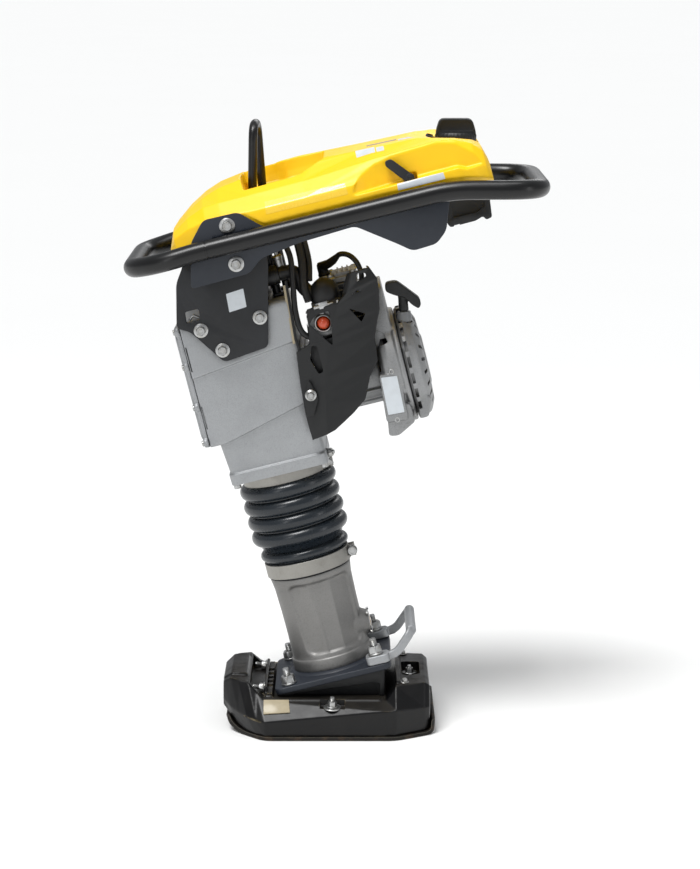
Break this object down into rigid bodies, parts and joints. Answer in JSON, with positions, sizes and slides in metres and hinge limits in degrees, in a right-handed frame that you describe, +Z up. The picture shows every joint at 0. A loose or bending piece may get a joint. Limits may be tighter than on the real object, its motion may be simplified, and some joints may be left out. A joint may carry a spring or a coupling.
{
  "type": "jumping jack rammer",
  "caption": "Petrol-engined vertical rammer on a flat shoe, with a bellows leg, a sprung crank drive, a guide handle loop, a hood tank and a recoil starter.",
  "frame": {"origin": "middle of the sole plate where it meets the ground", "axes": "+X from the toe of the shoe towards the operator, +Y to the machine's right side, +Z up from the ground"},
  "size_m": [0.6581, 0.343, 0.9705],
  "materials": {
    "yellow_hood": "moulded polyethylene, soft gloss",
    "black_tube": "black powder coat, gloss",
    "bracket_paint": "black powder coat, matte",
    "plate_paint": "dark blue-grey powder coat, matte",
    "black_plastic": "moulded nylon, fine grain",
    "shoe_plastic": "moulded plastic, scuffed with dried soil",
    "bellows_rubber": "smooth slate grey rubber",
    "black_rubber": "smooth black rubber",
    "case_casting": "shot-blasted casting",
    "leg_casting": "fine sand casting, dark",
    "engine_casting": "die casting",
    "zinc_steel": "zinc plated",
    "machined_steel": "ground",
    "sole_steel": "wear plate, worn",
    "bush_bronze": "machined",
    "primer_red": "clear orange-red bulb",
    "sight_glass": "clear, amber oil behind",
    "rope": "braided cord"
  },
  "bodies": {
    "foot": {"sole_plate": "sole_steel", "shoe_body": "shoe_plastic", "foot_wedge": "black_plastic", "cylinder_flange": "plate_paint", "spring_cylinder": "leg_casting", "cylinder_neck": "machined_steel", "bellows": "bellows_rubber", "lower_bellows_clamp": "zinc_steel", "shoe_lift_handle": "engine_casting", "oil_sight_glass": "sight_glass", "flange_nut_front_left": "zinc_steel", "flange_nut_front_right": "zinc_steel", "flange_nut_rear_left": "zinc_steel", "flange_nut_rear_right": "zinc_steel", "lower_spring": "machined_steel", "upper_spring": "machined_steel"},
    "machine": {"crankcase": "case_casting", "crankcase_cover": "case_casting", "guide_bush": "bush_bronze", "upper_bellows_clamp": "zinc_steel", "crank_bearing": "machined_steel", "pinion_bearing": "machined_steel", "mount_bracket_left": "bracket_paint", "mount_bracket_right": "bracket_paint", "shock_mount_left": "black_rubber", "shock_mount_right": "black_rubber", "air_filter_housing": "black_plastic", "lifting_bail": "black_tube", "engine_crankcase": "engine_casting", "engine_cylinder": "engine_casting", "fan_housing": "engine_casting", "starter_housing": "engine_casting", "rope_guide": "black_plastic", "starter_rope": "rope", "engine_shroud": "black_plastic", "carburetor": "engine_casting", "intake_boot": "black_rubber", "spark_plug": "zinc_steel", "ignition_lead": "black_rubber", "muffler": "machined_steel"},
    "piston": {"piston_rod": "machined_steel", "wrist_pin": "machined_steel"},
    "conrod": {"connecting_rod": "engine_casting", "crank_pin": "machined_steel"},
    "crank": {"crank_gear": "machined_steel"},
    "clutch": {"clutch_drum": "machined_steel"},
    "engine_shaft": {"crankshaft": "machined_steel", "flywheel": "engine_casting"},
    "pulley": {"starter_pulley": "black_plastic"},
    "grip": {"starter_grip": "black_plastic"},
    "primer": {"primer_bulb": "primer_red"},
    "handle": {"guide_handle": "black_tube", "front_loop": "black_tube", "side_plate_left": "plate_paint", "side_plate_right": "plate_paint", "fuel_tank": "yellow_hood", "tank_guard": "black_plastic"},
    "gasket": {"cap_gasket": "black_rubber"},
    "cap": {"fuel_cap": "black_plastic"},
    "throttle": {"throttle_lever": "black_plastic"}
  },
  "joints": [
    {"name": "ram_stroke", "type": "slide", "parent": "foot", "child": "machine", "axis": [-0.2419, 0, 0.9703], "range_m": [-0.025, 0.04], "stiffness_N_per_m": 60000, "springref_m": 0.0084, "deforming": ["bellows", "lower_spring", "upper_spring"]},
    {"name": "piston_stroke", "type": "slide", "parent": "machine", "child": "piston", "axis": [-0.2419, 0, 0.9703], "range_m": [-0.05, 0]},
    {"name": "conrod_swing", "type": "hinge", "parent": "piston", "child": "conrod", "pos_m": [-0.10125, 0, 0.52015], "axis": [0.9703, 0, 0.2419], "range_deg": [-12, 12]},
    {"name": "crank_spin", "type": "hinge", "parent": "machine", "child": "crank", "pos_m": [-0.07379, 0, 0.61667], "axis": [0.9703, 0, 0.2419], "continuous": true},
    {"name": "pinion_spin", "type": "hinge", "parent": "machine", "child": "clutch", "pos_m": [-0.05462, 0, 0.53982], "axis": [0.9703, 0, 0.2419], "continuous": true},
    {"name": "engine_spin", "type": "hinge", "parent": "machine", "child": "engine_shaft", "pos_m": [0.0424, 0, 0.56401], "axis": [0.9703, 0, 0.2419], "continuous": true},
    {"name": "starter_pull", "type": "slide", "parent": "machine", "child": "grip", "axis": [0.4055, -0.8004, 0.4414], "range_m": [0, 0.45], "stiffness_N_per_m": 20, "springref_m": -0.1, "deforming": ["starter_rope"]},
    {"name": "pulley_spin", "type": "hinge", "parent": "machine", "child": "pulley", "pos_m": [0.13167, 0, 0.58627], "axis": [0.9703, 0, 0.2419], "range_deg": [-650, 0]},
    {"name": "primer_press", "type": "slide", "parent": "machine", "child": "primer", "axis": [0, 1, 0], "range_m": [0, 0.004], "stiffness_N_per_m": 400, "springref_m": -0.001},
    {"name": "handle_rock", "type": "hinge", "parent": "machine", "child": "handle", "pos_m": [-0.14301, 0, 0.75791], "axis": [0, 1, 0], "range_deg": [-2, 2], "stiffness_Nm_per_rad": 6000, "springref_deg": -0.32},
    {"name": "throttle_swing", "type": "hinge", "parent": "handle", "child": "throttle", "pos_m": [0.1224, -0.125, 0.88799], "axis": [0, 1, 0], "range_deg": [0, 70]},
    {"name": "cap_lift", "type": "slide", "parent": "handle", "child": "gasket", "axis": [0, 0, 1], "range_m": [0, 0.024]},
    {"name": "cap_turn", "type": "hinge", "parent": "gasket", "child": "cap", "pos_m": [0.19665, 0, 0.93123], "axis": [0, 0, 1], "range_deg": [0, 540]}
  ],
  "couplings": [
    {"joint": "pinion_spin", "follows": "crank_spin", "ratio": -5},
    {"joint": "pulley_spin", "follows": "starter_pull", "rad_per_m": -25},
    {"joint": "cap_lift", "follows": "cap_turn", "m_per_rad": 0.0025}
  ]
}
